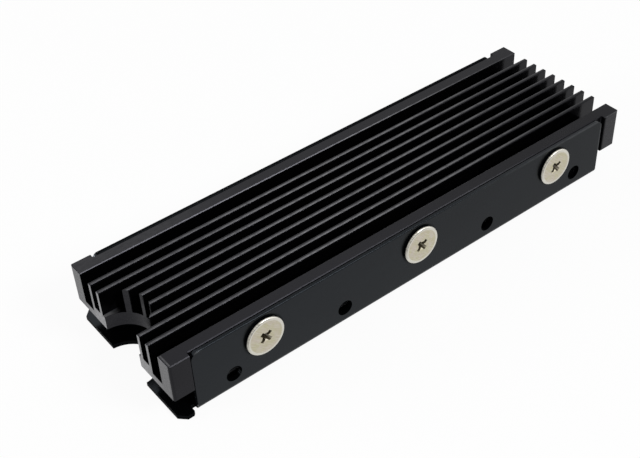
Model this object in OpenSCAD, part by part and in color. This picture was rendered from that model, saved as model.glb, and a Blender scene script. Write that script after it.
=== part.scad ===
// Heat sink for a plug-in memory card: a finned radiator screwed between the walls of a bent sheet tray
// X runs along the length with the notched end at -X, Y runs across, and Z is up from the tray's underside

/* [Radiator] */
// Length of the radiator from end to end
radiator_l = 80; // [72:1:110]
// Width of the radiator over its corner lugs
radiator_w = 24; // [23:0.5:30]
// Height of the radiator from its underside to its wall tops
radiator_h = 6.2; // [5.6:0.1:12]
// Thickness of each side wall at the lugs
wall_t = 2.5; // [2:0.1:3.4]
// Depth of the channel between each side wall and the fins
channel_d = 5; // [4:0.1:5.6]
// Radius of the half-round notch that clears the card's fixing screw
notch_r = 4.25; // [3:0.05:6]
// Chamfer along the long edges and the ends
edge_c = 0.1; // [0.05:0.05:0.4]
// Radius on the upright corners of the lugs
corner_r = 0.4; // [0.1:0.05:1]

/* [Fins] */
// Number of fins
fin_count = 8; // [2:1:9]
// Distance from fin to fin
fin_pitch = 2; // [1.2:0.05:2.5]
// Thickness of a fin
fin_t = 0.55; // [0.4:0.05:1]
// Height of the fins above the floor between them
fin_h = 4; // [2:0.1:5.4]
// Radius on the two edges of a fin's tip
fin_tip_r = 0.1; // [0.05:0.05:0.2]

/* [Side recesses] */
// Length of the corner lugs
lug_l = 3; // [2:0.1:5]
// Radius that the cutter leaves in the corners of a recess
recess_r = 0.15; // [0.05:0.05:0.15]

/* [Tray] */
// Thickness of the tray's sheet
tray_t = 0.6; // [0.5:0.05:1]
// Radius inside the two bends
bend_r = 0.2; // [0.1:0.05:0.6]
// Clearance between a tray wall and the recess behind it
tray_gap = 0.1; // [0.05:0.05:0.3]
// Gap between the tray walls and the lugs at the notched end
notch_end_gap = 0.1; // [0.1:0.1:1.5]
// Gap between the tray walls and the lugs at the plain end
plain_end_gap = 0.6; // [0.1:0.1:2]
// Distance of the tray walls' top edges below the radiator's top
tray_drop = 0.05; // [0:0.05:1]
// Radius of the tray walls' upper corners
tray_corner_r = 1.2; // [0.3:0.1:3]
// Radius along the top edges of the tray walls
tray_edge_r = 0.15; // [0.05:0.05:0.2]

/* [Tray tongue] */
// Distance of the tongue's end behind the radiator's end
tongue_back = 0.25; // [0:0.05:1]
// Distance that the tongue stands out past each tray wall
tongue_out = 0.4; // [0:0.1:1]
// Chamfer on the outer corners of the tongue
tongue_c = 1; // [0.2:0.1:1.2]
// Chamfer on the corners of the tongue next to the reliefs
shoulder_c = 0.25; // [0.05:0.05:0.4]
// Width of the reliefs between the tongue and the tray walls
relief_w = 0.7; // [0.4:0.1:1.2]

/* [Tray holes] */
// Diameter of the vent holes in the tray walls
vent_d = 2.3; // [1:0.1:2.8]
// Height of the vent holes above the tray's underside
vent_z = 2.7; // [2.2:0.1:3.5]
// Distance of the outer vent holes from the radiator's ends
vent_end = 8.8; // [6:0.1:9.4]

/* [Card and pads] */
// Room left for the card between the two pads
card_t = 2.2; // [1.6:0.1:4]
// Thickness of each thermal pad
pad_t = 0.5; // [0.3:0.1:1.5]
// Distance of the pads' ends from the radiator's ends
pad_end = 7.5; // [4.5:0.5:20]
// Distance of the pads' sides from the radiator's sides
pad_side = 2; // [1.5:0.1:6]

/* [Screws] */
// Number of screws along each side
screw_count = 3; // [1:1:3]
// Distance of the outer screws from the radiator's ends
screw_end = 13.7; // [13:0.1:24]
// Height of the screws above the radiator's underside
screw_up = 2.75; // [2:0.05:3.5]
// Diameter of the screw shanks
screw_d = 3; // [2:0.1:3.2]
// Clearance round a shank in the radiator
shank_gap = 0.05; // [0.02:0.01:0.1]
// Clearance round a shank in the tray wall
tray_hole_gap = 0.2; // [0.1:0.05:0.4]
// Diameter of the screw heads
head_d = 5.8; // [4.6:0.1:6.4]
// Thickness of the screw heads
head_t = 0.6; // [0.5:0.05:1.2]
// Radius round the edge of the screw heads
head_r = 0.25; // [0.05:0.05:0.4]
// Metal left between a screw hole's end and the channel inside the wall
hole_skin = 0.4; // [0.2:0.05:0.8]
// Clearance between a shank's tip and its hole's end
tip_gap = 0.2; // [0.1:0.05:0.4]
// Distance that the heads run in below their edges, towards their seats
head_under = 0.5; // [0.1:0.05:0.8]
// Chamfer on the tips of the shanks
tip_c = 0.3; // [0.1:0.05:0.6]
// Length of the cross recess over its wings
cross_l = 2; // [1.2:0.1:3]
// Width of the wings of the cross recess
cross_w = 0.5; // [0.3:0.05:0.8]
// Depth of the cross recess
cross_d = 1; // [0.4:0.05:1.4]
// Turn of the first screw's cross
cross_turn = 42; // [0:1:90]
// Change of turn from one screw to the next
cross_turn_step = -3; // [-45:1:45]

/* [Hidden] */
$fn = 48;

// Length by which a cut runs past the faces that it opens
cut_over = 0.5;

// Colours of the black anodised metal, the nickel-plated screws and the pads
black_anodise = "#232325";
nickel = "#c4bca4";
pad_grey = "#6d7175";

// Heights of the stack, from the tray's underside up
lower_pad_z = tray_t;
upper_pad_z = tray_t + pad_t + card_t;
radiator_z = upper_pad_z + pad_t;
tray_wall_h = radiator_z + radiator_h - tray_drop;
screw_z = radiator_z + screw_up;

// Levels inside the radiator, from its own underside up
fin_floor = radiator_h - fin_h;
channel_floor = radiator_h - channel_d;
fin_pack_w = (fin_count - 1) * fin_pitch + fin_t;

// The recess takes the tray wall and its clearance, so the wall's face is flush with the lugs
recess_d = tray_t + tray_gap;
recess_face_y = radiator_w / 2 - recess_d;
recess_l = radiator_l - 2 * lug_l;

// Screws share the length evenly, and the inner vent holes lie midway between them
screw_pitch = (radiator_l - 2 * screw_end) / max(screw_count - 1, 1);
vent_spans = [screw_pitch, radiator_l - 2 * vent_end];

// Ends of the tray walls, and the flat floor between the bends
wall_x0 = notch_end_gap - recess_l / 2;
wall_x1 = recess_l / 2 - plain_end_gap;
wall_l = wall_x1 - wall_x0;
bend_outer_r = bend_r + tray_t;
floor_w = radiator_w - 2 * bend_outer_r;

// Depth of the screw holes below the screws' seats
screw_hole_l = wall_t - hole_skin;

// Rectangle that stands on the first axis with all four corners chamfered
module chamfered_rect(w, h, c) {
    polygon([
        [c - w / 2, 0], [w / 2 - c, 0], [w / 2, c], [w / 2, h - c],
        [w / 2 - c, h], [c - w / 2, h], [-w / 2, h - c], [-w / 2, c]
    ]);
}

// Rectangle that stands on the first axis with its two upper corners rounded
module round_top_rect(w, h, r) {
    translate([r - w / 2, 0]) square([w - 2 * r, h]);
    translate([-w / 2, 0]) square([w, h - r]);
    for (side = [-1, 1]) translate([side * (w / 2 - r), h - r]) circle(r);
}

// Centred rectangle with all four corners rounded
module rounded_rect(w, h, r) {
    square([w - 2 * r, h], center = true);
    square([w, h - 2 * r], center = true);
    for (x = [-1, 1], y = [-1, 1]) translate([x * (w / 2 - r), y * (h / 2 - r)]) circle(r);
}

// Carries an outline drawn across and up along the length, from x = 0
module along_x(l) {
    rotate([90, 0, 90]) linear_extrude(l) children();
}

// Carries an outline drawn along and up across the width, centred
module along_y(w) {
    rotate([90, 0, 0]) linear_extrude(w, center = true) children();
}

// Repeats a piece on both long sides, seen from the outside
module on_both_sides() {
    for (turn = [0, 180]) rotate(turn) children();
}

// Puts a piece at each screw's seat on the tray walls, with its own +Z pointing outwards
module at_screws() {
    on_both_sides() for ($screw = [0 : screw_count - 1]) {
        x = ($screw - (screw_count - 1) / 2) * screw_pitch;
        translate([x, -radiator_w / 2, screw_z]) rotate([90, 0, 0]) children();
    }
}

// Extruded section: two thick walls, deep side channels and the raised bed with its fins
module radiator_section() {
    intersection() {
        chamfered_rect(radiator_w, radiator_h, edge_c);
        union() {
            translate([-radiator_w / 2, 0]) square([radiator_w, channel_floor]);
            translate([-fin_pack_w / 2, 0]) square([fin_pack_w, fin_floor]);
            for (side = [-1, 1]) {
                translate([side * (radiator_w - wall_t) / 2, 0]) chamfered_rect(wall_t, radiator_h, edge_c);
            }
            for (fin = [0 : fin_count - 1]) {
                translate([(fin - (fin_count - 1) / 2) * fin_pitch, 0]) {
                    round_top_rect(fin_t, radiator_h, fin_tip_r);
                }
            }
        }
    }
}

// Outline of the radiator from above, with rounded lugs and the end notch
module radiator_plan() {
    difference() {
        rounded_rect(radiator_l, radiator_w, corner_r);
        translate([-radiator_l / 2, 0]) circle(notch_r);
    }
}

// Milled pocket for one tray wall, with its edge chamfers, on the near side
module side_recess() {
    bevel_l = recess_l - 2 * recess_r;
    translate([0, -radiator_w / 2 - cut_over, -cut_over]) {
        linear_extrude(radiator_h + 2 * cut_over) round_top_rect(recess_l, recess_d + cut_over, recess_r);
    }
    for (z = [0, radiator_h]) translate([-bevel_l / 2, -recess_face_y, z]) {
        along_x(bevel_l) polygon([[-edge_c, 0], [0, edge_c], [edge_c, 0], [0, -edge_c]]);
    }
}

module radiator() {
    color(black_anodise) difference() {
        translate([0, 0, radiator_z]) difference() {
            intersection() {
                translate([-radiator_l / 2, 0, 0]) along_x(radiator_l) radiator_section();
                linear_extrude(radiator_h) radiator_plan();
                along_y(radiator_w) chamfered_rect(radiator_l, radiator_h, edge_c);
            }
            side_recess();
            mirror([0, 1, 0]) side_recess();
        }
        at_screws() translate([0, 0, -screw_hole_l]) {
            cylinder(h = screw_hole_l, d = screw_d + 2 * shank_gap);
        }
    }
}

// Bent sheet section: a flat floor, two bends and two walls with eased top edges
module tray_section() {
    translate([-floor_w / 2, 0]) square([floor_w, tray_t]);
    for (side = [0, 1]) mirror([side, 0]) {
        translate([floor_w / 2, bend_outer_r]) intersection() {
            difference() {
                circle(bend_outer_r);
                circle(bend_r);
            }
            translate([0, -bend_outer_r]) square(bend_outer_r);
        }
        translate([(radiator_w - tray_t) / 2, bend_outer_r]) {
            round_top_rect(tray_t, tray_wall_h - bend_outer_r, tray_edge_r);
        }
    }
}

// Flat tongue at the notched end, with its neck between the reliefs
module tongue_plan() {
    end_x = tongue_back - radiator_l / 2;
    shoulder_x = wall_x0 - relief_w;
    half_w = radiator_w / 2 + tongue_out;
    for (side = [0, 1]) mirror([0, side]) polygon([
        [end_x, 0], [end_x, half_w - tongue_c], [end_x + tongue_c, half_w],
        [shoulder_x - shoulder_c, half_w], [shoulder_x, half_w - shoulder_c], [shoulder_x, 0]
    ]);
    translate([shoulder_x - shoulder_c, -floor_w / 2]) square([2 * relief_w + shoulder_c, floor_w]);
}

module tray() {
    hole_l = tray_t + 2 * cut_over;
    color(black_anodise) difference() {
        union() {
            intersection() {
                translate([wall_x0, 0, 0]) along_x(wall_l) tray_section();
                translate([(wall_x0 + wall_x1) / 2, 0, 0]) along_y(radiator_w) {
                    round_top_rect(wall_l, tray_wall_h, tray_corner_r);
                }
            }
            linear_extrude(tray_t) tongue_plan();
        }
        translate([-radiator_l / 2, 0, -cut_over]) cylinder(h = hole_l, r = notch_r);
        at_screws() translate([0, 0, cut_over - hole_l]) {
            cylinder(h = hole_l, d = screw_d + 2 * tray_hole_gap);
        }
        on_both_sides() for (span = vent_spans, side = [-1, 1]) {
            translate([side * span / 2, hole_l - cut_over - radiator_w / 2, vent_z]) {
                rotate([90, 0, 0]) cylinder(h = hole_l, d = vent_d);
            }
        }
    }
}

// Cross recess whose wings run in to a point, cut down from the head's face
module cross_recess() {
    translate([0, 0, head_t - cross_d]) intersection() {
        cylinder(h = 2 * cross_d, r1 = 0, r2 = cross_l);
        for (turn = [0, 90]) rotate(turn) {
            translate([-cross_l, -cross_w / 2, 0]) cube([2 * cross_l, cross_w, 2 * cross_d]);
        }
    }
}

// Flat-headed screw on its own axis, seated at z = 0 with its shank below
module screw(turn) {
    shank_l = screw_hole_l - tip_gap;
    shank_r = screw_d / 2;
    rim_r = head_d / 2 - head_r;
    difference() {
        rotate_extrude() {
            square([rim_r, head_t]);
            polygon([
                [0, 0], [head_d / 2 - head_under, 0],
                [head_d / 2, head_t - head_r], [0, head_t - head_r]
            ]);
            translate([rim_r, head_t - head_r]) circle(head_r);
            polygon([
                [0, 0], [0, -shank_l], [shank_r - tip_c, -shank_l],
                [shank_r, tip_c - shank_l], [shank_r, 0]
            ]);
        }
        rotate(turn) cross_recess();
    }
}

module side_screws() {
    color(nickel) at_screws() screw(cross_turn + $screw * cross_turn_step);
}

module thermal_pad(z) {
    pad_l = radiator_l - 2 * pad_end;
    pad_w = radiator_w - 2 * pad_side;
    color(pad_grey) translate([-pad_l / 2, -pad_w / 2, z]) cube([pad_l, pad_w, pad_t]);
}

module upper_thermal_pad() {
    thermal_pad(upper_pad_z);
}

module lower_thermal_pad() {
    thermal_pad(lower_pad_z);
}

radiator();
tray();
side_screws();
upper_thermal_pad();
lower_thermal_pad();
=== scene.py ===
"""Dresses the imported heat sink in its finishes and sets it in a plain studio.

Sizes in the classes are in millimetres in the part's own frame: X along the length with the
notched end at -X, Y across with the photographed side at -Y, Z up from the tray's underside.
Meshes are written in metres. A mask is a number over a surface, from 0 to 1.
"""

import logging
import math
from abc import ABC, abstractmethod
from dataclasses import dataclass
from enum import Enum
from typing import Any, Union

import bpy
import numpy as np
from mathutils import Matrix, Vector


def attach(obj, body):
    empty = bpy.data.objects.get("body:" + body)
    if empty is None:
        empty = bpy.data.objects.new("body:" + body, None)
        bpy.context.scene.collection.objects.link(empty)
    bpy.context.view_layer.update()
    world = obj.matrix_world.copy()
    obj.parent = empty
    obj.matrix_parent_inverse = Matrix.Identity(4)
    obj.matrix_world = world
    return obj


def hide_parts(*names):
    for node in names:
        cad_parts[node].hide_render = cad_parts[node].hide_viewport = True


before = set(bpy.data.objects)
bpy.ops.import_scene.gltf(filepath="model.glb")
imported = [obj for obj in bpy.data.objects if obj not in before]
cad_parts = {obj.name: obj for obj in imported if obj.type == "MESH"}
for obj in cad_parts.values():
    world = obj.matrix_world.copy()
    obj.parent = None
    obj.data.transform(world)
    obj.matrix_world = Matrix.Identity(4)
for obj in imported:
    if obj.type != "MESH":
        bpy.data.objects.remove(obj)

LOG = logging.getLogger("heat_sink")
BODY = "root"
MM = 0.001
NOISE_MEAN = 0.5
SCREW_PITCH = 26.3
SCREW_Z = 6.55
HEAD_R = 2.9
SIDE_Y = 12.0

Array = np.ndarray
Socket = bpy.types.NodeSocket
Colour = tuple[float, float, float]
Point = tuple[float, float, float]
# Where a step starts and where it ends, which may be lower
Span = tuple[float, float]
# A span, then the levels at its start and at its end
Fade = tuple[float, float, float, float]
# Where a strip starts to rise, is full, starts to fall and is gone
Band = tuple[float, float, float, float]
Operand = Union["Value", float]

WHITE: Colour = (1.0, 1.0, 1.0)


class Side(Enum):
    """The two long sides of the heat sink, as the sign of Y."""

    NEAR = -1
    FAR = 1


class Mark(Enum):
    """Numbers stored on a screw's vertices for its finish to read."""

    RADIUS = "radius_mm"
    ACROSS = "across_mm"
    UP = "up_mm"
    GRIME_AND_SHADE = "grime_and_shade"


class Value:
    """A number that varies over a surface: arithmetic on it adds Math nodes."""

    def __init__(self, sheet: "Sheet", socket: Socket) -> None:
        """Wraps one output socket of a sheet."""
        self.sheet = sheet
        self.socket = socket

    def __add__(self, other: Operand) -> "Value":
        """Sum."""
        return self.sheet.math("ADD", self, other)

    def __radd__(self, other: Operand) -> "Value":
        """Sum with the number first."""
        return self.sheet.math("ADD", other, self)

    def __sub__(self, other: Operand) -> "Value":
        """Difference."""
        return self.sheet.math("SUBTRACT", self, other)

    def __rsub__(self, other: Operand) -> "Value":
        """Difference with the number first."""
        return self.sheet.math("SUBTRACT", other, self)

    def __mul__(self, other: Operand) -> "Value":
        """Product."""
        return self.sheet.math("MULTIPLY", self, other)

    def __rmul__(self, other: Operand) -> "Value":
        """Product with the number first."""
        return self.sheet.math("MULTIPLY", other, self)

    def __truediv__(self, other: Operand) -> "Value":
        """Quotient."""
        return self.sheet.math("DIVIDE", self, other)

    def __abs__(self) -> "Value":
        """Size without sign."""
        return self.sheet.math("ABSOLUTE", self)

    def larger(self, other: Operand) -> "Value":
        """The larger of two values."""
        return self.sheet.math("MAXIMUM", self, other)

    def wrap(self, pitch: float) -> "Value":
        """The distance, with its sign, from the nearest multiple of the pitch."""
        return self.sheet.math("WRAP", self, pitch / 2, -pitch / 2)

    def rise(self, start: float, end: float, first: float = 0.0, last: float = 1.0) -> "Value":
        """A smooth step over a span of the value, which may run either way.

        Args:
            start: Value at which the step starts.
            end: Value at which the step ends.
            first: Level at the start and before it.
            last: Level at the end and beyond it.

        Returns:
            The step, between the two levels.
        """
        if start > end:
            start, end, first, last = end, start, last, first
        node = self.sheet.node(
            "ShaderNodeMapRange",
            {"interpolation_type": "SMOOTHSTEP"},
            {"Value": self, "From Min": start, "From Max": end, "To Min": first, "To Max": last},
        )
        return Value(self.sheet, node.outputs["Result"])

    def band(self, start: float, full: float, fall: float, end: float) -> "Value":
        """A strip of the value: 0 up to start, 1 from full to fall and 0 from end."""
        return self.rise(start, full) * self.rise(end, fall)


@dataclass(frozen=True)
class Spot:
    """The place on a piece in mm, and the distances along and across it from its middle."""

    x: Value
    y: Value
    z: Value
    along: Value
    across: Value


@dataclass(frozen=True)
class Grain:
    """A noise: its cells in a millimetre along X, Y and Z, its finer octaves and their strength."""

    per_mm: Point
    octaves: float = 2.0
    strength: float = 0.5


class Sheet:
    """A node tree, with the few kinds of node that the finishes use."""

    def __init__(self, tree: bpy.types.NodeTree) -> None:
        """Works on a tree that exists."""
        self.tree = tree

    def node(self, kind: str, settings: dict[str, Any], sockets: dict[str, Any]) -> bpy.types.Node:
        """Adds one node.

        Args:
            kind: Blender's name of the node's type.
            settings: Properties to set first.
            sockets: Values or links by socket name or identifier.

        Returns:
            The new node.
        """
        node = self.tree.nodes.new(kind)
        for key, value in settings.items():
            setattr(node, key, value)
        for key, value in sockets.items():
            self.feed(node, key, value)
        return node

    def feed(self, node: bpy.types.Node, key: str, value: Any) -> None:
        """Links or sets one input socket.

        Args:
            node: The node that takes the value.
            key: Name or identifier of the socket.
            value: A Value or socket to link, or a constant to set.
        """
        socket = next(s for s in node.inputs if key in (s.identifier, s.name) and s.enabled)
        source = value.socket if isinstance(value, Value) else value
        if isinstance(source, Socket):
            self.tree.links.new(source, socket)
        else:
            socket.default_value = source

    def math(self, operation: str, *operands: Operand) -> Value:
        """Adds one Math node.

        Args:
            operation: Blender's name of the operation.
            operands: Values or numbers, in order.

        Returns:
            The node's result.
        """
        sockets = dict(zip(("Value", "Value_001", "Value_002"), operands))
        node = self.node("ShaderNodeMath", {"operation": operation}, sockets)
        return Value(self, node.outputs["Value"])

    def place_mm(self) -> Socket:
        """The place on the piece in millimetres, as a vector socket.

        Returns:
            The vector's socket.
        """
        coordinates = self.node("ShaderNodeTexCoord", {}, {})
        scaled = self.node(
            "ShaderNodeVectorMath",
            {"operation": "SCALE"},
            {"Vector": coordinates.outputs["Object"], "Scale": 1 / MM},
        )
        return scaled.outputs["Vector"]

    def spot(self, place: Socket) -> Spot:
        """Splits a place into its values.

        Args:
            place: Vector socket in millimetres.

        Returns:
            The place's three values, and the sizes of the first two.
        """
        split = self.node("ShaderNodeSeparateXYZ", {}, {"Vector": place})
        x, y, z = (Value(self, split.outputs[axis]) for axis in "XYZ")
        return Spot(x, y, z, along=abs(x), across=abs(y))

    def vector(self, x: Operand, y: Operand = 0.0, z: Operand = 0.0) -> Socket:
        """Joins three values into a vector socket."""
        return self.node("ShaderNodeCombineXYZ", {}, {"X": x, "Y": y, "Z": z}).outputs["Vector"]

    def noise(self, place: Socket, grain: Grain) -> Value:
        """Noise from 0 to 1.

        Args:
            place: Vector socket in millimetres.
            grain: Size and detail of the noise.

        Returns:
            The noise value.
        """
        mapping = self.node("ShaderNodeMapping", {}, {"Vector": place, "Scale": grain.per_mm})
        sockets = {"Vector": mapping.outputs["Vector"], "Scale": 1.0}
        sockets |= {"Detail": grain.octaves, "Roughness": grain.strength}
        noise = self.node("ShaderNodeTexNoise", {}, sockets)
        return Value(self, noise.outputs[0])

    def attribute(self, mark: Mark) -> Value:
        """A number stored on the piece's own vertices."""
        node = self.node("ShaderNodeAttribute", {"attribute_name": mark.value}, {})
        return Value(self, node.outputs["Fac"])

    def mix(self, factor: Value, first: Any, second: Any) -> Socket:
        """Mixes two colours.

        Args:
            factor: 0 gives the first colour, 1 the second.
            first: Colour or colour socket.
            second: Colour or colour socket.

        Returns:
            The mixed colour's socket.
        """
        colours = [(*c, 1.0) if isinstance(c, tuple) else c for c in (first, second)]
        node = self.node(
            "ShaderNodeMix",
            {"data_type": "RGBA"},
            {"Factor_Float": factor, "A_Color": colours[0], "B_Color": colours[1]},
        )
        return next(s for s in node.outputs if s.identifier == "Result_Color")

    def bump(self, height_mm: Value) -> Socket:
        """Turns a height above the surface in mm into a normal's socket."""
        sockets = {"Strength": 1.0, "Distance": MM, "Height": height_mm}
        return self.node("ShaderNodeBump", {}, sockets).outputs["Normal"]

    def seen(self) -> tuple[Value, Value]:
        """What is seen straight by the camera, and what is seen in gloss or through glass.

        Returns:
            Two values that are 1 for such rays and 0 for other light.
        """
        rays = self.node("ShaderNodeLightPath", {}, {}).outputs
        kinds = ("Camera", "Glossy", "Transmission")
        camera, gloss, glass = (Value(self, rays[f"Is {kind} Ray"]) for kind in kinds)
        return camera, gloss.larger(glass)


class FinishSheet(Sheet):
    """One material's node tree, with a Principled shader on its output."""

    def __init__(self, name: str) -> None:
        """Starts a new material.

        Args:
            name: Name of the material.
        """
        self.material = bpy.data.materials.new(name)
        self.material.use_nodes = True
        super().__init__(self.material.node_tree)
        self.tree.nodes.clear()
        self.surface = self.node("ShaderNodeBsdfPrincipled", {}, {})
        shader = self.surface.outputs["BSDF"]
        self.output = self.node("ShaderNodeOutputMaterial", {}, {"Surface": shader})

    def dull_shade(self, where: Value, colour: Colour, roughness: float) -> None:
        """Puts a dark second shader with no sheen over the first, as painted shade.

        Args:
            where: Mask of the painted shade.
            colour: Colour of the shade shader.
            roughness: Roughness of the shade shader.
        """
        second = self.node(
            "ShaderNodeBsdfPrincipled",
            {},
            {"Base Color": (*colour, 1.0), "Roughness": roughness, "Specular IOR Level": 0.0},
        )
        self.cover(where, second.outputs["BSDF"])

    def cover(self, where: Value, shader: Socket) -> None:
        """Mixes a second shader over the first.

        Args:
            where: Mask of the second shader.
            shader: The second shader's socket.
        """
        first = self.surface.outputs["BSDF"]
        sockets = {"Fac": where, "Shader": first, "Shader_001": shader}
        mixed = self.node("ShaderNodeMixShader", {}, sockets)
        self.feed(self.output, "Surface", mixed.outputs["Shader"])

    def finish(self, **sockets: Any) -> bpy.types.Material:
        """Feeds the Principled shader and gives the material back.

        Args:
            sockets: Values by socket name, with spaces written as underscores.

        Returns:
            The finished material.
        """
        for key, value in sockets.items():
            self.feed(self.surface, key.replace("_", " "), value)
        return self.material


@dataclass(frozen=True)
class AnodiseFinish:
    """Satin black anodise on aluminium: blasted grain, drawn lines, cloudy sheen, painted edge
    highlights.
    """

    name: str
    black: Colour
    highlight_and_wear: Colour
    cut: Colour
    shade_share: float
    smooth: float
    sheen: float
    tint: Colour
    roughness: float
    cloudiness: float
    grain: Grain
    grain_mm: float
    lines: Grain
    lines_mm: float
    polish: float = 0.04
    grain_rough: float = 0.12
    dull_rough: float = 0.7
    clouds: Grain = Grain((0.12, 0.3, 0.3), 3.0)
    cloud_edge: Span = (0.25, 0.75)
    cloud_lift: float = 1.5
    patches: Grain = Grain((0.9, 2.5, 2.5), 3.0, 0.6)
    patch_edge: Span = (0.3, 0.62)
    highlight_least: float = 0.45
    cut_share: float = 0.6
    cut_grain: float = 0.8
    cut_patch: float = 0.4

    def material(self, piece: "AnodisedPiece") -> bpy.types.Material:
        """Builds the material.

        The height is fine grain plus lines drawn out along X. Slow noise clouds the black and its
        roughness. The masks of painted edge highlights and of cut ends, broken up by noise, lighten
        the colour, the mask of painted shade in deep places darkens it, and the places of painted
        shade get a dark shader with no sheen.

        Args:
            piece: The piece that says where its painted highlights, cut ends and painted shade are.

        Returns:
            The material.
        """
        sheet = FinishSheet(self.name)
        place = sheet.place_mm()
        at = sheet.spot(place)
        grain, lines = sheet.noise(place, self.grain), sheet.noise(place, self.lines)
        clouds = sheet.noise(place, self.clouds)
        patches = sheet.noise(place, self.patches).rise(*self.patch_edge)
        # Painted highlights on edges, broken up by noise
        highlight_and_wear = piece.highlight_and_wear(at) * (self.highlight_least + (1 - self.highlight_least) * patches)
        broken = self.cut_share + self.cut_grain * (grain - NOISE_MEAN) + self.cut_patch * patches
        cut = piece.cut(at) * broken
        # Painted shade in deep places
        deep_shade = piece.deep_shade(at)
        uneven = (clouds - NOISE_MEAN) * self.cloudiness + (grain - NOISE_MEAN) * self.grain_rough
        lifted_black = tuple(self.cloud_lift * c for c in self.black)
        shaded_black = tuple(self.shade_share * c for c in self.black)
        open_black = sheet.mix(clouds.rise(*self.cloud_edge), self.black, lifted_black)
        colour = sheet.mix(cut, sheet.mix(deep_shade, open_black, shaded_black), self.cut)
        # Painted shade: a dark shader with no sheen where the piece says
        sheet.dull_shade(piece.dull_shade(at), shaded_black, self.dull_rough)
        return sheet.finish(
            Base_Color=sheet.mix(highlight_and_wear, colour, self.highlight_and_wear),
            Specular_IOR_Level=self.sheen,
            Specular_Tint=(*self.tint, 1.0),
            Roughness=self.roughness + uneven - highlight_and_wear * self.polish - deep_shade * self.smooth,
            Normal=sheet.bump(grain * self.grain_mm + lines * self.lines_mm),
        )


@dataclass(frozen=True)
class NickelFinish:
    """Warm nickel plate on a turned head: fine rings, a pale painted-highlight rim, a recess of
    dirt and painted shade.
    """

    name: str
    nickel: Colour
    tarnish: Colour
    rim: Colour
    grime_and_shade: Colour
    roughness: float
    relief_mm: float
    rings: Grain
    brush: Grain
    clouds: Grain
    specks: Grain
    slant: tuple[float, float] = (0.77, 0.64)
    slant_depth: float = 0.1
    tarnish_edge: Span = (0.35, 0.62)
    brush_shine: Fade = (0.35, 0.75, 0.0, 0.5)
    rim_r: float = 2.46
    rim_edge: Span = (-0.1, 0.12)
    rim_waver: float = 0.3
    scuff_edge: Span = (0.12, 0.27)
    scuff_corner: Span = (0.8, 4.0)
    scuff_brush: Fade = (0.45, 0.6, 0.42, 0.7)
    cloud_rough: float = 0.16
    ring_rough: float = 0.1
    speck_rough: float = 0.06
    grime_rough: float = 0.3
    grime_matt: float = 0.5

    def material(self) -> bpy.types.Material:
        """Builds the material.

        Rings are noise along the radius alone, and brush lines are noise drawn out along one
        slant of the face. Slow noise tarnishes the colour and makes the pale ring at the rim, a
        painted highlight, uneven. At its upper left the rim is scratched and darkened as painted
        shade, and dirt with painted shade darkens the wings of the recess.

        Returns:
            The material.
        """
        sheet = FinishSheet(self.name)
        place = sheet.place_mm()
        radius, across, up, grime_and_shade = (sheet.attribute(mark) for mark in Mark)
        cosine, sine = self.slant
        slanted = sheet.vector(
            cosine * across - sine * up, sine * across + cosine * up, radius * self.slant_depth
        )
        rings = sheet.noise(sheet.vector(radius), self.rings)
        brush = sheet.noise(slanted, self.brush)
        clouds, specks = sheet.noise(place, self.clouds), sheet.noise(place, self.specks)
        past_rim = radius - self.rim_r
        # The pale ring at the rim is a painted highlight
        painted_lit = (past_rim + (clouds - NOISE_MEAN) * self.rim_waver).rise(*self.rim_edge)
        # Scratches at the rim's upper left, darkened further as painted shade
        scuffed_and_shaded = past_rim.rise(*self.scuff_edge) * (up - across).rise(*self.scuff_corner)
        face = sheet.mix(clouds.rise(*self.tarnish_edge), self.nickel, self.tarnish)
        brushed = sheet.mix(brush.rise(*self.brush_shine), face, self.rim)
        ringed = sheet.mix(painted_lit, brushed, self.rim)
        plated = sheet.mix(scuffed_and_shaded * brush.rise(*self.scuff_brush), ringed, self.grime_and_shade)
        uneven = (clouds - NOISE_MEAN) * self.cloud_rough + (rings - NOISE_MEAN) * self.ring_rough
        uneven = uneven + (specks - NOISE_MEAN) * self.speck_rough
        return sheet.finish(
            Base_Color=sheet.mix(grime_and_shade, plated, self.grime_and_shade),
            Metallic=1.0 - self.grime_matt * grime_and_shade,
            Roughness=self.roughness + uneven + grime_and_shade * self.grime_rough,
            Normal=sheet.bump((rings + specks + brush) * self.relief_mm),
        )


@dataclass(frozen=True)
class SiliconeFinish:
    """Soft grey gap-filler sheet with a fine filler speckle."""

    name: str
    grey: Colour
    filler: Colour
    roughness: float
    relief_mm: float
    speckle: Grain
    clouds: Grain
    filler_edge: Span = (0.4, 0.7)
    cloud_rough: float = 0.2

    def material(self) -> bpy.types.Material:
        """Builds the material: speckle mixes the filler into the grey, and clouds roughen it.

        Returns:
            The material.
        """
        sheet = FinishSheet(self.name)
        place = sheet.place_mm()
        speckle, clouds = sheet.noise(place, self.speckle), sheet.noise(place, self.clouds)
        return sheet.finish(
            Base_Color=sheet.mix(speckle.rise(*self.filler_edge), self.grey, self.filler),
            Roughness=self.roughness + (clouds - NOISE_MEAN) * self.cloud_rough,
            Normal=sheet.bump((speckle + clouds) * self.relief_mm),
        )


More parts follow.
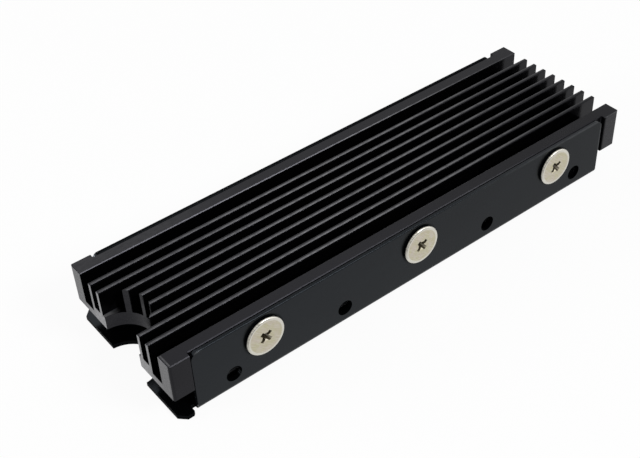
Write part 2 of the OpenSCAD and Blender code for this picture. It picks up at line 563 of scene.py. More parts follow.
def shell_from_rings(name: str, rings: Array, numbers: dict[Mark, Array]) -> bpy.types.Object:
    """Makes a closed shell from rings of points.

    Each ring is joined to the next by quads that wrap round, and the first and last rings shrink
    to one point each, joined by fans of triangles.

    Args:
        name: Name of the object.
        rings: Points in millimetres, shaped (rings, points round, 3).
        numbers: Numbers for the vertices, each shaped (rings, points round).

    Returns:
        The object, linked to the scene.
    """
    count, around = rings.shape[:2]
    inner = np.arange((count - 2) * around).reshape(count - 2, around)
    first, last = inner.size, inner.size + 1
    after = np.roll(inner, -1, axis=1)
    quads = np.stack([inner[:-1], inner[1:], after[1:], after[:-1]], axis=-1).reshape(-1, 4)
    fan_in = np.stack([np.full(around, first), inner[0], after[0]], axis=-1)
    fan_out = np.stack([np.full(around, last), after[-1], inner[-1]], axis=-1)

    def flat(values: Array) -> Array:
        """Puts the inner rings first and the two poles last."""
        ends = np.stack([values[0].mean(axis=0), values[-1].mean(axis=0)])
        return np.concatenate([values[1:-1].reshape(-1, *values.shape[2:]), ends])

    mesh = bpy.data.meshes.new(name)
    faces = [*quads.tolist(), *fan_in.tolist(), *fan_out.tolist()]
    mesh.from_pydata((flat(rings) * MM).tolist(), [], faces)
    mesh.polygons.foreach_set("use_smooth", np.ones(len(mesh.polygons), bool))
    for mark, values in numbers.items():
        attribute = mesh.attributes.new(mark.value, "FLOAT", "POINT")
        attribute.data.foreach_set("value", flat(values).astype(np.float32))
    mesh.update()
    piece = bpy.data.objects.new(name, mesh)
    bpy.context.scene.collection.objects.link(piece)
    return piece


def from_circle(across: Value, up: Value, radius: float) -> Value:
    """Distance in mm outside a circle, true near it: (across^2 + up^2 - radius^2) / (2 radius)."""
    return (across * across + up * up - radius**2) / (2 * radius)


class AnodisedPiece(ABC):
    """A CAD node that keeps its shape and gets an anodised finish."""

    top_z: float

    def below_top(self, at: Spot) -> Value:
        """Depth below the piece's top in mm."""
        return self.top_z - at.z

    @abstractmethod
    def highlight_and_wear(self, at: Spot) -> Value:
        """Mask of the painted highlights on edges."""

    @abstractmethod
    def cut(self, at: Spot) -> Value:
        """Mask of the sawn or sheared ends."""

    @abstractmethod
    def deep_shade(self, at: Spot) -> Value:
        """Mask of the painted shade in deep places."""

    @abstractmethod
    def dull_shade(self, at: Spot) -> Value:
        """Mask of the painted shade, laid on as a dark shader with no sheen."""

    def dress(self, node: bpy.types.Object, finish: AnodiseFinish) -> None:
        """Gives a CAD node its anodise and reports it."""
        node.material_slots[0].material = finish.material(self)
        LOG.info("%s dressed in %s", node.name, finish.name)


@dataclass
class Radiator(AnodisedPiece):
    """The finned block: its sizes, then the spans and weights of its masks."""

    half_l: float = 40.0
    top_z: float = 10.0
    notch_r: float = 4.25
    bed_z: float = 6.0
    fin_pitch: float = 2.0
    fins_y: float = 7.4
    wall_inner_y: float = 9.5
    recess_outer_y: float = 11.3
    recess_half_l: float = 37.0

    # Edges and faces that several masks share
    chamfer_in: Span = (0.13, 0.09)
    chamfer_down: Span = (0.11, 0.08)
    walls_out: Span = (1.0, 1.3)
    lug_skin: Span = (0.1, 0.03)

    # Painted highlights along the fin tips, moving from near edge to far edge with the length
    highlight_comes: Fade = (-32.0, -5.0, 0.5, 1.0)
    highlight_goes: Fade = (10.0, 36.0, 1.0, 0.3)
    tip_down: Span = (0.05, 0.015)
    tip_strip: Band = (-0.34, -0.24, -0.1, 0.1)
    tip_lean: Fade = (0.0, 40.0, 0.0, 0.3)
    tip_out: Span = (0.2, 0.0)
    tip_end: Span = (0.0, 0.4)

    # Painted highlights on the wall tops and lugs
    inner_highlight: Fade = (-5.0, 8.0, 0.42, 0.87)
    outer_highlight: float = 0.36
    over_tray_highlight: float = 0.12
    over_tray_x: Band = (-20.0, -3.0, 10.0, 24.0)
    over_tray_end: Span = (0.0, 0.2)
    far_top_highlight: Fade = (-12.0, -30.0, 0.0, 0.11)
    far_top_out: Span = (0.0, 0.1)
    lug_line_highlight: float = 0.5
    lug_line_in: Band = (0.12, 0.2, 0.32, 0.42)
    lug_line_clear: Span = (0.1, 0.3)
    lug_face_highlight: Fade = (36.8, 37.2, 0.0, 0.08)

    # Painted highlights on strips of the bed beside the notch
    strip_highlight: float = 0.57
    strip_level: Band = (-0.04, -0.01, 0.01, 0.04)
    strip_out: Band = (-0.4, -0.1, 0.6, 0.8)
    strip_clear: Span = (0.02, 0.06)
    strip_in: Span = (2.5, 1.0)

    # Sawn ends, paler partly as bare metal and partly as painted light, most on the fins, and the
    # milled notch
    sawn_in: Span = (0.03, 0.01)
    sawn_out: Fade = (10.0, 5.0, 0.4, 1.0)
    milled: Fade = (0.08, 0.03, 0.0, 0.06)

    # Painted shade in the gaps between the walls
    deep_shade_down: Span = (0.15, 0.4)
    deep_shade_out: Span = (0.05, 0.02)
    deep_shade_clear: Span = (0.05, 0.15)

    # Painted shade on the chamfers, the tops and the slot
    recess_step: Span = (0.0, 0.1)
    along_dull: Fade = (18.0, -2.0, 0.0, 0.65)
    ends_dull: float = 0.85
    before_end: Span = (0.0, 0.02)
    top_down: Span = (0.08, 0.02)
    top_x: Span = (-30.0, 40.0)
    top_dull: Fade = (-1.0, 1.0, 0.38, 0.25)
    slot_dull: float = 0.9
    slot_x: Band = (36.8, 36.9, 37.0, 37.5)

    # Painted shade on the flanks of the fins at the notch
    flank_dull: float = 0.9
    flank_in: Span = (1.0, 0.0)
    flank_out: Span = (0.8, 0.6)
    flank_clear: Span = (0.1, 0.2)
    flank_up: Span = (0.05, 0.12)
    flank_down: Span = (0.2, 0.4)

    def from_end(self, at: Spot) -> Value:
        """Distance in from the nearer end in mm."""
        return self.half_l - at.along

    def from_notched_end(self, at: Spot) -> Value:
        """Distance in from the notched end in mm."""
        return at.x + self.half_l

    def from_notch(self, at: Spot) -> Value:
        """Distance outside the notch's wall in mm."""
        return from_circle(self.from_notched_end(at), at.y, self.notch_r)

    def chamfer(self, inside: Value) -> Value:
        """Mask of an edge's chamfer, from the distance inside that edge in mm."""
        return inside.rise(*self.chamfer_in)

    def chamfered_top(self, at: Spot) -> Value:
        """Mask of the top faces and the chamfers round them."""
        return self.below_top(at).rise(*self.chamfer_down)

    def lug_faces(self, at: Spot) -> Value:
        """Mask of the lugs' outer faces."""
        return (SIDE_Y - at.across).rise(*self.lug_skin)

    def highlight_and_wear(self, at: Spot) -> Value:
        """Masks painted highlights on fin tips, wall tops, the bed beside the notch and the plain
        end's lugs.

        Args:
            at: The place on the radiator.

        Returns:
            The mask.
        """
        highlight_along = at.x.rise(*self.highlight_comes) * at.x.rise(*self.highlight_goes)
        painted_lit = (highlight_along * self.fin_tips(at)).larger(self.wall_tops(at, highlight_along))
        # Painted light on the plain end's lug faces
        lugs = self.lug_faces(at) * at.x.rise(*self.lug_face_highlight)
        return painted_lit.larger(self.notch_strips(at)).larger(lugs)

    def fin_tips(self, at: Spot) -> Value:
        """Masks a painted highlight on each fin's tip: its near edge, then its far one by the plain
        end.

        Args:
            at: The place on the radiator.

        Returns:
            The mask.
        """
        from_fin = (at.y - self.fin_pitch / 2).wrap(self.fin_pitch) - at.x.rise(*self.tip_lean)
        strip = self.below_top(at).rise(*self.tip_down) * from_fin.band(*self.tip_strip)
        on_fins = (at.across - self.fins_y).rise(*self.tip_out)
        return strip * on_fins * self.from_end(at).rise(*self.tip_end)

    def wall_tops(self, at: Spot, highlight_along: Value) -> Value:
        """Masks painted highlights on the walls' top edges, the far top by the notch and a line on
        the near lug there.

        Args:
            at: The place on the radiator.
            highlight_along: Share of the painted highlight along the length.

        Returns:
            The mask.
        """
        inner = self.chamfer(at.across - self.wall_inner_y) * highlight_along * at.x.rise(*self.inner_highlight)
        outer = self.outer_highlight * self.chamfer(SIDE_Y - at.across)
        over_tray = self.over_tray_highlight * self.chamfer(self.recess_outer_y - at.across)
        over_tray = over_tray * (self.recess_half_l - at.along).rise(*self.over_tray_end)
        edges = inner.larger(outer).larger(over_tray * at.x.band(*self.over_tray_x))
        far_top = (at.y - self.wall_inner_y).rise(*self.far_top_out)
        lug_line = self.lug_line_highlight * self.from_notched_end(at).band(*self.lug_line_in)
        lug_line = lug_line * (-self.wall_inner_y - at.y).rise(*self.lug_line_clear)
        lug_line = lug_line * (SIDE_Y - at.across).rise(*self.lug_line_clear)
        tops = (far_top * at.x.rise(*self.far_top_highlight)).larger(lug_line)
        walls = (at.across - self.fins_y).rise(*self.walls_out)
        return self.chamfered_top(at) * walls * edges.larger(tops)

    def notch_strips(self, at: Spot) -> Value:
        """Masks painted highlights on the strips of the bed between the notch and the fins beside
        it.

        Args:
            at: The place on the radiator.

        Returns:
            The mask.
        """
        on_bed = (at.z - self.bed_z).band(*self.strip_level)
        beside = (at.across - self.notch_r).band(*self.strip_out)
        clear = self.from_notch(at).rise(*self.strip_clear)
        by_end = self.from_notched_end(at).rise(*self.strip_in)
        return self.strip_highlight * on_bed * beside * clear * by_end

    def cut(self, at: Spot) -> Value:
        """Mask of the two sawn ends, the fins' most, paler partly as painted light, and of the
        milled notch.
        """
        sawn = self.from_end(at).rise(*self.sawn_in) * at.across.rise(*self.sawn_out)
        return sawn.larger(self.from_notch(at).rise(*self.milled))

    def deep_shade(self, at: Spot) -> Value:
        """Masks painted shade in the gaps between the fins and the channels beside the walls.

        Args:
            at: The place on the radiator.

        Returns:
            The mask.
        """
        below = self.below_top(at).rise(*self.deep_shade_down)
        between = (at.across - self.wall_inner_y).rise(*self.deep_shade_out)
        return below * between * self.from_notch(at).rise(*self.deep_shade_clear)

    def dull_shade(self, at: Spot) -> Value:
        """Masks painted shade on outer chamfers, tops by the plain end, the slots' sides and the
        flanks.

        Args:
            at: The place on the radiator.

        Returns:
            The mask.
        """
        before_end = self.from_end(at).rise(*self.before_end)
        in_recess = self.recess_half_l - at.along
        outer_y = in_recess.rise(*self.recess_step, SIDE_Y, self.recess_outer_y)
        # Painted shade on the outer chamfers, fading out towards the plain end
        along = self.chamfer(outer_y - at.across) * at.x.rise(*self.along_dull)
        ends = self.ends_dull * self.chamfer(self.from_end(at)) * before_end
        edges = self.chamfered_top(at) * along.larger(ends)
        # Painted shade on the tops, growing towards the plain end
        tops = self.below_top(at).rise(*self.top_down) * at.x.rise(*self.top_x)
        tops = tops * at.y.rise(*self.top_dull)
        # Painted shadow beside the slots
        slot_sides = self.slot_dull * self.lug_faces(at) * at.x.band(*self.slot_x)
        flanks = self.flanks(at) * before_end
        return edges.larger(tops).larger(slot_sides).larger(flanks)

    def flanks(self, at: Spot) -> Value:
        """Masks painted shade on the flanks of the fins that the notch lays bare.

        Args:
            at: The place on the radiator.

        Returns:
            The mask.
        """
        beside = (self.from_notched_end(at) - self.notch_r).rise(*self.flank_in)
        beside = beside * (at.across - self.notch_r).rise(*self.flank_out)
        clear = self.from_notch(at).rise(*self.flank_clear)
        level = (at.z - self.bed_z).rise(*self.flank_up) * self.below_top(at).rise(*self.flank_down)
        return self.flank_dull * beside * clear * level


@dataclass
class Tray(AnodisedPiece):
    """The bent sheet tray: its sizes, then the spans and weights of its masks."""

    top_z: float = 9.95
    sheet_t: float = 0.6
    inner_y: float = 11.4
    wall_x: Span = (-36.9, 36.4)
    vent_x: Span = (13.15, 31.2)
    vent_z: float = 2.7
    vent_r: float = 1.15

    # Painted highlights on the outer edges of the walls
    edge_in: Span = (0.2, 0.1)
    edge_highlight: Fade = (0.3, 0.075, 0.0, 0.38)
    upright_highlight: Fade = (0.25, 0.1, 0.0, 0.5)
    upright_z: Span = (2.0, 6.0)
    plain_end_x: Span = (-5.0, 38.0)
    notched_end_in: Span = (2.2, 0.8)

    # Sheared ends, and painted shade inside
    sheared_in: Span = (0.06, 0.02)
    inside_out: Span = (0.1, 0.0)
    tongue_out: Span = (0.0, 0.3)
    floor_up: Span = (-0.1, 0.0)

    # Painted shade on the wall tops and the tongue
    top_band_down: Span = (0.165, 0.135)
    top_band_shade: float = 0.4
    top_band_far: float = 0.45
    top_band_lit: float = 0.3
    far_y: Span = (-1.0, 1.0)
    tongue_in: Span = (0.4, 0.0)
    tongue_dull: Fade = (0.0, 0.03, 0.0, 0.9)

    # Painted shade outside by the plain end, painted shadow round the heads, and vent holes
    skin: Span = (0.1, 0.03)
    plain_end_shade: float = 0.24
    head_shadow: Fade = (0.4, 0.1, 0.0, 0.45)
    vent_dull: Fade = (0.05, 0.02, 0.0, 0.92)
    vent_out: Span = (-0.2, -0.1)

    def from_notched_end(self, at: Spot) -> Value:
        """Distance in from the walls' ends by the notch in mm, below 0 on the tongue."""
        return at.x - self.wall_x[0]

    def from_plain_end(self, at: Spot) -> Value:
        """Distance in from the walls' plain ends in mm."""
        return self.wall_x[1] - at.x

    def near_ends(self, at: Spot) -> Value:
        """Mask that rises slowly towards the plain end, and just before the notched one."""
        plain_end = at.x.rise(*self.plain_end_x)
        return plain_end.larger(self.from_notched_end(at).rise(*self.notched_end_in))

    def highlight_and_wear(self, at: Spot) -> Value:
        """Masks painted highlights on the outer edges of the wall tops near their ends, and the
        plain end's uprights.

        Args:
            at: The place on the tray.

        Returns:
            The mask.
        """
        edge = (SIDE_Y - at.across).rise(*self.edge_in)
        top = self.below_top(at).rise(*self.edge_highlight) * self.near_ends(at)
        upright = self.from_plain_end(at).rise(*self.upright_highlight) * at.z.rise(*self.upright_z)
        return edge * top.larger(upright)

    def cut(self, at: Spot) -> Value:
        """Mask of the sheared plain ends of the walls."""
        return self.from_plain_end(at).rise(*self.sheared_in)

    def deep_shade(self, at: Spot) -> Value:
        """Masks painted shade on the inside of the tray and the top of its tongue.

        Args:
            at: The place on the tray.

        Returns:
            The mask.
        """
        inside = (at.across - self.inner_y).rise(*self.inside_out)
        past_walls = (self.wall_x[0] - at.x).rise(*self.tongue_out)
        return inside.larger(past_walls) * (at.z - self.sheet_t).rise(*self.floor_up)

    def dull_shade(self, at: Spot) -> Value:
        """Masks painted shade on the wall tops, tongue, vents, round the heads and outside by the
        plain end.

        Args:
            at: The place on the tray.

        Returns:
            The mask.
        """
        # Painted shade along the wall tops, heavier on the far side, lighter near the near side's
        # ends
        far = at.y.rise(*self.far_y)
        painted_lit = self.top_band_lit * self.near_ends(at) * (1 - far)
        sheared = self.below_top(at).rise(*self.top_band_down)
        sheared = sheared * (self.top_band_shade + self.top_band_far * far - painted_lit)
        # Painted shade on the tongue under the radiator
        tongue = self.from_notched_end(at).rise(*self.tongue_in)
        tongue = tongue * (self.sheet_t - at.z).rise(*self.tongue_dull)
        # Painted shade on the outside, growing towards the plain end, with a painted shadow round
        # each head
        outside = (SIDE_Y - at.across).rise(*self.skin)
        plain_end_shade = at.x.rise(*self.wall_x, 0.0, self.plain_end_shade)
        from_head = from_circle(at.x.wrap(SCREW_PITCH), at.z - SCREW_Z, HEAD_R)
        outside = outside * plain_end_shade.larger(from_head.rise(*self.head_shadow))
        return sheared.larger(tongue).larger(outside).larger(self.vents(at))

    def vents(self, at: Spot) -> Value:
        """Masks painted shade on the cut walls of the vent holes.

        Args:
            at: The place on the tray.

        Returns:
            The mask.
        """
        inner, outer = self.vent_x
        from_axis = abs(at.along - (inner + outer) / 2) - (outer - inner) / 2
        from_wall = from_circle(from_axis, at.z - self.vent_z, self.vent_r)
        return from_wall.rise(*self.vent_dull) * (at.across - self.inner_y).rise(*self.vent_out)


@dataclass
class ScrewSet:
    """The six flat-headed side screws, with cross recesses and threads."""

    along: tuple[float, ...] = (-SCREW_PITCH, 0.0, SCREW_PITCH)
    turns_deg: tuple[float, ...] = (42.0, 39.0, 36.0)
    head_t: float = 0.6
    rim_r: float = 0.2
    rim_turn: float = 0.7 * math.pi
    under: float = 0.5
    crown: float = 0.015
    fillet: float = 0.1
    neck: float = 0.05
    neck_l: float = 0.15
    shank_r: float = 1.5
    shank_l: float = 1.9
    tip_c: float = 0.3
    thread_pitch: float = 0.5
    thread_depth: float = 0.22
    wing_half_l: float = 1.03
    wing_half_w: float = 0.3
    core_r: float = 0.76
    core_slope: float = 0.56
    wing_slope: float = 1.6
    wall_slope: float = 7.0
    lip: float = 0.03
    grime_from: float = 0.06
    lit_half: float = 0.3
    lit_half_out: Span = (0.26, 0.38)
    lit_half_beside: Band = (-0.05, 0.05, 0.3, 0.4)
    around: int = 192
    recess_rings: int = 64
    recess_share: float = 1.12
    face_rings: int = 12
    face_share: float = 1.2
    rim_rings: int = 12
    thread_rings: int = 54

    def recess(self, radius: Array, angle: Array) -> tuple[Array, Array]:
        """Depth of the cross recess below the head's face, and where it has dirt and painted shade.

        Along a wing the depth falls with the distance from its end, across it the walls drop
        steeply from its edge, and a shallow cone opens the middle. The lip is eased by taking
        sqrt(depth^2 + lip^2) - lip. Dirt with painted shade fills the wings, less so the upper
        half of the lower right one, which is left lighter as painted light, and leaves the cone
        bright.

        Args:
            radius: Distance from the axis in mm.
            angle: Angle from the first wing in radians.

        Returns:
            The depth in mm, 0 outside the recess, and the dirt with painted shade from 0 to 1.
        """
        first, second = radius * np.cos(angle), radius * np.sin(angle)

        def wing(along: Array, across: Array) -> Array:
            """Depth of one pair of wings."""
            floor = self.wing_slope * (self.wing_half_l - np.abs(along))
            return np.minimum(floor, self.wall_slope * (self.wing_half_w - np.abs(across)))

        wings = np.maximum(np.maximum(wing(first, second), wing(second, first)), 0.0)
        depth = np.maximum(wings, self.core_slope * (self.core_r - radius))
        eased = np.sqrt(depth**2 * (depth > 0) + self.lip**2) - self.lip
        # The upper half of the lower right wing, where light falls, is left lighter as painted
        # light
        lit_half = np.interp(-second, self.lit_half_out, (0, 1))
        lit_half = lit_half * np.interp(first, self.lit_half_beside, (0, 1, 1, 0))
        return eased, np.clip(wings / self.grime_from, 0, 1) * (1 - self.lit_half * lit_half)

    def profile(self) -> tuple[Array, Array, Array]:
        """The screw's outline from the middle of its face, over the rim and down the shank.

        Returns:
            Radius, height above the seat, and 1 where the thread is cut, each along the outline.
        """
        flat_r = HEAD_R - self.rim_r
        face = np.concatenate([
            np.linspace(0, self.recess_share * self.wing_half_l, self.recess_rings),
            np.linspace(self.face_share * self.wing_half_l, flat_r, self.face_rings),
        ])
        arc = np.linspace(0, self.rim_turn, self.rim_rings + 1)[1:]
        thread = np.linspace(-self.neck_l, self.tip_c - self.shank_l, self.thread_rings)
        tip = (self.shank_r - self.tip_c) * np.array([1.0, 0.5, 0.0])
        radius = np.concatenate([
            face,
            flat_r + self.rim_r * np.sin(arc),
            [HEAD_R - self.under, self.shank_r + self.fillet, self.shank_r - self.neck],
            np.full(thread.size, self.shank_r),
            tip,
        ])
        height = np.concatenate([
            self.head_t - self.crown * (face / flat_r) ** 2,
            self.head_t - self.crown - self.rim_r + self.rim_r * np.cos(arc),
            [0.0, 0.0, -self.neck],
            thread,
            np.full(tip.size, -self.shank_l),
        ])
        threaded = np.zeros(radius.size)
        threaded[-tip.size - thread.size : -tip.size] = 1.0
        return radius, height, threaded

    def rings(self, turn_deg: float) -> tuple[Array, dict[Mark, Array]]:
        """The screw on its own axis, head up, as rings of points.

        The outline is carried round the axis. On the face the height drops by the recess depth,
        and on the shank the radius drops by a triangle wave of height / pitch + angle / 2 pi.

        Args:
            turn_deg: Turn of the cross about the axis.

        Returns:
            Points shaped (rings, around, 3), and the numbers that the finish reads on each.
        """
        radius, height, threaded = (a[:, None] for a in self.profile())
        angle = np.linspace(0, 2 * math.pi, self.around, endpoint=False)[None, :]
        on_face = (radius < HEAD_R - self.rim_r) & (height > self.head_t / 2)
        depth, grime_and_shade = self.recess(radius + 0 * angle, angle - math.radians(turn_deg))
        wave = np.abs(2 * np.mod(height / self.thread_pitch + angle / (2 * math.pi), 1.0) - 1)
        cut_r = radius - threaded * self.thread_depth * wave
        across, up = cut_r * np.cos(angle), cut_r * np.sin(angle)
        points = np.stack([across, up, height - on_face * depth], axis=-1)
        return points, dict(zip(Mark, (cut_r, across, up, on_face * grime_and_shade)))

    def build(self, finish: NickelFinish) -> None:
        """Makes the six screws in place of the CAD node.

        Args:
            finish: The plating.
        """
        material = finish.material()
        for side in Side:
            for number, (along, turn) in enumerate(zip(self.along, self.turns_deg), start=1):
                points, numbers = self.rings(turn)
                across, up, out = np.moveaxis(points, -1, 0)
                x, y = -side.value * (along + across), side.value * (SIDE_Y + out)
                name = f"side_screw_{side.name.lower()}_{number}"
                placed = np.stack([x, y, SCREW_Z + up], axis=-1)
                screw = shell_from_rings(name, placed, numbers)
                screw.data.materials.append(material)
                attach(screw, BODY)
                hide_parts("side_screws")
                LOG.info("%s built", name)


@dataclass
class ThermalPads:
    """The two soft pads, over and under the card room."""

    half_l: float = 32.5
    half_w: float = 10.0
    thick: float = 0.5
    corner_r: float = 0.8
    sag: float = 0.03
    sag_along: tuple[float, float] = (0.37, 1.1)
    sag_across: float = 0.45
    sag_power: int = 4
    steps: int = 24
    arc_steps: int = 9
    levels: tuple[tuple[str, float, int], ...] = (
        ("upper_thermal_pad", 3.3, -1),
        ("lower_thermal_pad", 0.6, 1),
    )

    def outline(self) -> Array:
        """Rounded rectangle, counter-clockwise from above, with points along its straight sides.

        Returns:
            Points shaped (points, 2).
        """
        arc = np.linspace(0, math.pi / 2, self.arc_steps)
        starts = np.array([[1, 1], [-1, 1], [-1, -1], [1, -1]])
        centres = starts * (np.array([self.half_l, self.half_w]) - self.corner_r)
        angles = arc[None, :] + np.arange(4)[:, None] * math.pi / 2
        turn = np.stack([np.cos(angles), np.sin(angles)], axis=-1)
        corners = centres[:, None, :] + self.corner_r * turn
        share = np.linspace(0, 1, self.steps)[None, 1:-1, None]
        ends, begins = corners[:, -1:], np.roll(corners, -1, axis=0)[:, :1]
        return np.concatenate([corners, ends + share * (begins - ends)], axis=1).reshape(-1, 2)

    def rings(self, base_z: float, free: int) -> Array:
        """One pad as rings from the middle of its top to the middle of its underside.

        The outline shrinks to the middle on both faces, and bulges in a half circle at the edge.
        The free face dips by the square of a slow sine along X times a slow cosine along Y.

        Args:
            base_z: Height of the underside.
            free: 1 where the top is free, -1 where the underside is.

        Returns:
            Points shaped (rings, points round, 3).
        """
        half = self.thick / 2
        face = np.full(self.steps, half)
        bow = np.linspace(math.pi / 2, -math.pi / 2, self.arc_steps)
        inset = np.concatenate([face, half - half * np.cos(bow), face])
        outwards, inwards = np.linspace((0, 1), (1, 0), self.steps + 1).T
        share = np.concatenate([outwards[:-1], np.ones(bow.size), inwards[1:]])
        level = np.concatenate([face, half * np.sin(bow), -face])
        reach = 1 - inset[:, None, None] / np.array([self.half_l, self.half_w])
        flat = self.outline()[None] * reach * share[:, None, None]
        rate, phase = self.sag_along
        dip = np.sin(rate * flat[..., 0] + phase) * np.cos(self.sag_across * flat[..., 1])
        on_free = np.clip(free * level / half, 0, 1)[:, None] ** self.sag_power
        z = base_z + half + level[:, None] - free * on_free * self.sag * dip**2
        return np.concatenate([flat, z[..., None]], axis=-1)

    def build(self, finish: SiliconeFinish) -> None:
        """Makes both pads in place of their CAD nodes.

        Args:
            finish: The silicone.
        """
        material = finish.material()
        for node, base_z, free in self.levels:
            pad = shell_from_rings(f"{node}_sheet", self.rings(base_z, free), {})
            pad.data.materials.append(material)
            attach(pad, BODY)
            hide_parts(node)
            LOG.info("%s built", pad.name)


@dataclass
class PhotoCamera:
    """The camera at the photograph's viewpoint."""

    place: Point = (-79.654, -97.613, 110.412)
    azimuth_deg: float = 36.3535
    elevation_deg: float = -40.8221
    roll_deg: float = -2.9989
    focal_px: float = 1144.04
    image_px: float = 640.0
    sensor_mm: float = 36.0
    clip: Span = (10.0, 10000.0)

    def build(self) -> None:
        """Makes the camera and gives it to the scene."""
        angles = (self.azimuth_deg, self.elevation_deg, self.roll_deg)
        azimuth, elevation, roll = (math.radians(angle) for angle in angles)
        ahead = Vector((
            math.cos(elevation) * math.sin(azimuth),
            math.cos(elevation) * math.cos(azimuth),
            math.sin(elevation),
        ))
        level = Vector((math.cos(azimuth), -math.sin(azimuth), 0.0))
        right = math.cos(roll) * level + math.sin(roll) * level.cross(ahead)
        turned = Matrix((right, right.cross(ahead), -ahead)).transposed()
        data = bpy.data.cameras.new("photo_camera")
        data.sensor_width = self.sensor_mm
        data.lens = self.focal_px * self.sensor_mm / self.image_px
        data.clip_start, data.clip_end = (MM * distance for distance in self.clip)
        camera = bpy.data.objects.new("photo_camera", data)
        camera.matrix_world = Matrix.Translation(Vector(self.place) * MM) @ turned.to_4x4()
        bpy.context.scene.collection.objects.link(camera)
        bpy.context.scene.camera = camera
        LOG.info("camera set")


@dataclass
class SoftBox:
    """One area light that faces the part."""

    name: str
    place: Point
    width: float
    height: float
    watts: float

    def build(self) -> None:
        """Makes the light and turns it to the middle of the part."""
        data = bpy.data.lights.new(self.name, "AREA")
        data.shape = "RECTANGLE"
        data.size, data.size_y = self.width * MM, self.height * MM
        data.energy = self.watts
        light = bpy.data.objects.new(self.name, data)
        light.location = Vector(self.place) * MM
        light.rotation_mode = "QUATERNION"
        light.rotation_quaternion = (-light.location).to_track_quat("-Z", "Y")
        bpy.context.scene.collection.objects.link(light)


@dataclass
class Studio:
    """A pale floor, an even white surround and the soft boxes."""

    floor_half: float = 3000.0
    floor_gap: float = 0.02
    floor_white: Colour = (0.96, 0.96, 0.96)
    floor_rough: float = 0.9
    floor_sheen: float = 0.1
    tooth: Grain = Grain((0.8, 0.8, 0.8))
    tooth_dim: float = 0.98
    paper_glow: float = 0.93
    shadow_reach: Span = (120.0, 360.0)
    mirrored_white: Colour = (0.66, 0.66, 0.66)
    surround: float = 0.4
    boxes: tuple[SoftBox, ...] = (
        SoftBox("left_back_box", (-420.0, 260.0, 110.0), 260.0, 160.0, 1.7),
        SoftBox("front_right_box", (205.0, -437.0, 407.0), 240.0, 180.0, 2.2),
    )

    def build(self) -> None:
        """Makes the floor, the surround and the lights."""
        half, level = self.floor_half * MM, -self.floor_gap * MM
        mesh = bpy.data.meshes.new("floor")
        signs = ((-1, -1), (1, -1), (1, 1), (-1, 1))
        mesh.from_pydata([(i * half, j * half, level) for i, j in signs], [], [(0, 1, 2, 3)])
        floor = bpy.data.objects.new("floor", mesh)
        bpy.context.scene.collection.objects.link(floor)
        mesh.materials.append(self.floor_material())
        self.surround_world()
        for box in self.boxes:
            box.build()
        LOG.info("studio set with %d soft boxes", len(self.boxes))

    def floor_material(self) -> bpy.types.Material:
        """Matt white paper with a faint tooth, plain white where it is seen and dimmer in gloss.

        Returns:
            The floor's material.
        """
        sheet = FinishSheet("white_paper")
        place = sheet.place_mm()
        at = sheet.spot(place)
        straight, mirrored = sheet.seen()
        shade = sheet.mix(mirrored, WHITE, self.mirrored_white)
        glow = sheet.node("ShaderNodeEmission", {}, {"Color": shade, "Strength": 1.0})
        white = at.along.larger(at.across).rise(*self.shadow_reach, self.paper_glow, 1.0)
        sheet.cover((white * straight).larger(mirrored), glow.outputs["Emission"])
        dimmer = tuple(self.tooth_dim * c for c in self.floor_white)
        return sheet.finish(
            Base_Color=sheet.mix(sheet.noise(place, self.tooth), self.floor_white, dimmer),
            Roughness=self.floor_rough,
            Specular_IOR_Level=self.floor_sheen,
        )

    def surround_world(self) -> None:
        """White where the camera, gloss and glass see it, and an even glow for the rest."""
        world = bpy.data.worlds.new("white_surround")
        bpy.context.scene.world = world
        world.use_nodes = True
        sheet = Sheet(world.node_tree)
        background = world.node_tree.nodes["Background"]
        straight, mirrored = sheet.seen()
        strength = self.surround + (1 - self.surround) * straight.larger(mirrored)
        sheet.feed(background, "Color", (*WHITE, 1.0))
        sheet.feed(background, "Strength", strength)


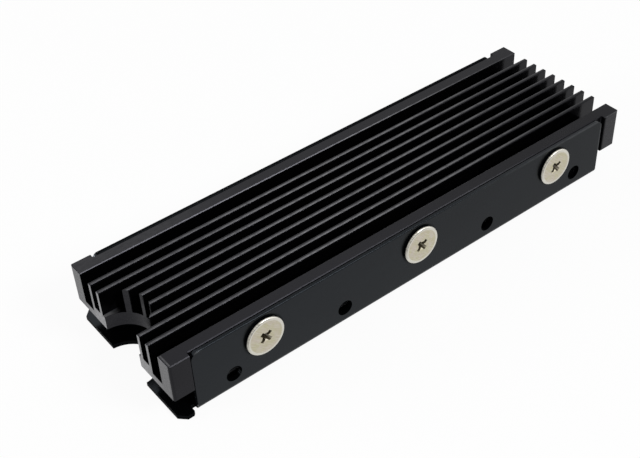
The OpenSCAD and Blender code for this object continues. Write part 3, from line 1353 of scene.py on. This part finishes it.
RADIATOR_BLACK = AnodiseFinish(
    name="radiator_black_anodise",
    black=(0.0028, 0.0027, 0.0032),
    # Colour of the painted highlights on edges
    highlight_and_wear=(0.19, 0.19, 0.194),
    # Sawn ends: paler partly as bare metal and partly as painted light
    cut=(0.2, 0.2, 0.205),
    # Share of the black kept in painted shade
    shade_share=0.3,
    smooth=0.12,
    sheen=0.24,
    tint=(0.86, 0.86, 1.0),
    roughness=0.26,
    cloudiness=0.1,
    grain=Grain((7.0, 7.0, 7.0)),
    grain_mm=0.004,
    lines=Grain((0.03, 5.0, 5.0)),
    lines_mm=0.004,
)
TRAY_BLACK = AnodiseFinish(
    name="tray_black_anodise",
    black=(0.0022, 0.0026, 0.0032),
    # Colour of the painted highlights on edges
    highlight_and_wear=(0.13, 0.13, 0.134),
    cut=(0.05, 0.05, 0.052),
    # Share of the black kept in painted shade
    shade_share=0.4,
    smooth=0.06,
    sheen=0.28,
    tint=(0.75, 0.87, 1.0),
    roughness=0.22,
    cloudiness=0.06,
    grain=Grain((5.0, 5.0, 5.0)),
    grain_mm=0.003,
    lines=Grain((0.03, 3.0, 3.0)),
    lines_mm=0.002,
)
WARM_NICKEL = NickelFinish(
    name="warm_nickel_plate",
    nickel=(0.735, 0.655, 0.54),
    tarnish=(0.685, 0.635, 0.425),
    # Pale rim colour, a painted highlight
    rim=(0.92, 0.895, 0.805),
    # Dirt colour, also used for painted shade in the recess
    grime_and_shade=(0.06, 0.047, 0.025),
    roughness=0.32,
    relief_mm=0.0012,
    rings=Grain((9.0, 1.0, 1.0), 3.0, 0.6),
    brush=Grain((0.7, 9.0, 1.0), 3.0, 0.6),
    clouds=Grain((0.8, 0.8, 0.8), 4.0, 0.6),
    specks=Grain((7.0, 7.0, 7.0)),
)
PAD_GREY = SiliconeFinish(
    name="grey_silicone_pad",
    grey=(0.10, 0.105, 0.112),
    filler=(0.17, 0.175, 0.18),
    roughness=0.75,
    relief_mm=0.012,
    speckle=Grain((4.0, 4.0, 4.0), 3.0, 0.6),
    clouds=Grain((0.2, 0.2, 0.2)),
)


def main() -> None:
    """Dresses the part piece by piece and sets the studio round it."""
    logging.basicConfig(level=logging.INFO, format="%(name)s: %(message)s")
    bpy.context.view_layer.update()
    bpy.context.scene.view_settings.view_transform = "Standard"
    Radiator().dress(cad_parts["radiator"], RADIATOR_BLACK)
    Tray().dress(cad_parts["tray"], TRAY_BLACK)
    ScrewSet().build(WARM_NICKEL)
    ThermalPads().build(PAD_GREY)
    PhotoCamera().build()
    Studio().build()


if __name__ == "__main__":
    main()
